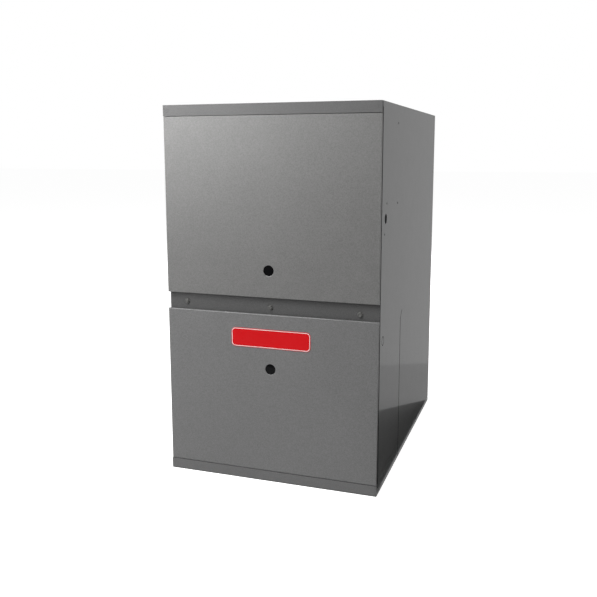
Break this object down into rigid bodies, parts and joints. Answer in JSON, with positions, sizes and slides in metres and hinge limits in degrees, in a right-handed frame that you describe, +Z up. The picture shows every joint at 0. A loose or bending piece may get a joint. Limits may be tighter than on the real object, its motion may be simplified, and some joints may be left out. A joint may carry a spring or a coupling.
{
  "type": "forced air gas furnace",
  "caption": "Upright steel cabinet with two lift-off front doors, inside it gas burners, serpentine heat exchanger tubes, an induced draft blower and a circulating blower.",
  "frame": {"origin": "centre of the cabinet's footprint, on the floor plane", "axes": "+Z up, the doors face -Y, +X to the right of someone who faces the doors"},
  "size_m": [0.5144, 0.7112, 0.8763],
  "materials": {
    "cabinet_paint": "satin",
    "galvanised": "satin",
    "aluminised_steel": "satin",
    "zinc_plate": "satin",
    "black_paint": "satin",
    "dark_plastic": "matte",
    "foil": "gloss",
    "cast_aluminium": "satin",
    "smoked_glass": "gloss",
    "badge_red": "gloss",
    "circuit_board": "satin",
    "ceramic": "matte",
    "black_rubber": "matte",
    "signal_red": "gloss"
  },
  "bodies": {
    "cabinet": {"back_panel": "cabinet_paint", "base_front_rail": "cabinet_paint", "blower_deck": "galvanised", "blower_housing": "galvanised", "blower_motor": "black_paint", "blower_motor_mount": "galvanised", "bottom_panel": "galvanised", "burner_1": "aluminised_steel", "burner_2": "aluminised_steel", "burner_3": "aluminised_steel", "burner_4": "aluminised_steel", "burner_bracket": "galvanised", "cabinet_liner": "foil", "collector_box": "aluminised_steel", "control_board": "circuit_board", "control_bracket": "galvanised", "divider_screw_centre": "zinc_plate", "divider_screw_left": "zinc_plate", "divider_screw_right": "zinc_plate", "door_divider_strip": "cabinet_paint", "door_switch": "dark_plastic", "flame_sensor": "ceramic", "flue_collar": "galvanised", "gas_manifold": "black_paint", "gas_valve_body": "cast_aluminium", "harness_grommet": "black_rubber", "heat_exchanger_tube_1": "aluminised_steel", "heat_exchanger_tube_2": "aluminised_steel", "heat_exchanger_tube_3": "aluminised_steel", "heat_exchanger_tube_4": "aluminised_steel", "high_limit_switch": "zinc_plate", "hot_surface_igniter": "ceramic", "inducer_housing": "black_paint", "inducer_motor": "zinc_plate", "junction_box": "galvanised", "left_side_panel": "cabinet_paint", "pressure_hose": "black_rubber", "pressure_switch": "dark_plastic", "rail_screw_left": "zinc_plate", "rail_screw_right": "zinc_plate", "right_side_panel": "cabinet_paint", "rollout_switch": "dark_plastic", "run_capacitor": "zinc_plate", "top_front_rail": "cabinet_paint", "top_vent_panel": "cabinet_paint", "transformer": "black_paint", "vestibule_panel": "galvanised", "wiring_harness": "black_rubber"},
    "upper_door_unit": {"upper_door": "cabinet_paint", "upper_sight_glass": "smoked_glass"},
    "lower_door_unit": {"lower_door": "cabinet_paint", "lower_sight_glass": "smoked_glass", "badge_plate": "badge_red"},
    "blower_rotor": {"blower_wheel": "galvanised", "blower_shaft": "zinc_plate"},
    "inducer_rotor": {"inducer_wheel": "galvanised", "inducer_cooling_fan": "dark_plastic"},
    "valve_knob": {"gas_valve_knob": "dark_plastic"},
    "interlock_plunger": {"door_switch_plunger": "signal_red"},
    "reset_button": {"rollout_reset_button": "signal_red"}
  },
  "joints": [
    {"name": "upper_door_lift_off", "type": "slide", "parent": "cabinet", "child": "upper_door_unit", "axis": [0, -1, 0], "range_m": [0, 0.15]},
    {"name": "lower_door_lift_off", "type": "slide", "parent": "cabinet", "child": "lower_door_unit", "axis": [0, -1, 0], "range_m": [0, 0.15]},
    {"name": "blower_spin", "type": "hinge", "parent": "cabinet", "child": "blower_rotor", "pos_m": [0, 0.0444, 0.2008], "axis": [1, 0, 0], "continuous": true},
    {"name": "inducer_spin", "type": "hinge", "parent": "cabinet", "child": "inducer_rotor", "pos_m": [0, -0.1862, 0.7418], "axis": [0, 1, 0], "continuous": true},
    {"name": "gas_valve_turn", "type": "hinge", "parent": "cabinet", "child": "valve_knob", "pos_m": [-0.112, 0, 0.6151], "axis": [0, 1, 0], "range_deg": [0, 90]},
    {"name": "interlock_press", "type": "slide", "parent": "cabinet", "child": "interlock_plunger", "axis": [0, 1, 0], "range_m": [0, 0.004], "stiffness_N_per_m": 300},
    {"name": "rollout_reset_pop", "type": "slide", "parent": "cabinet", "child": "reset_button", "axis": [0, -1, 0], "range_m": [0, 0.0015]}
  ]
}
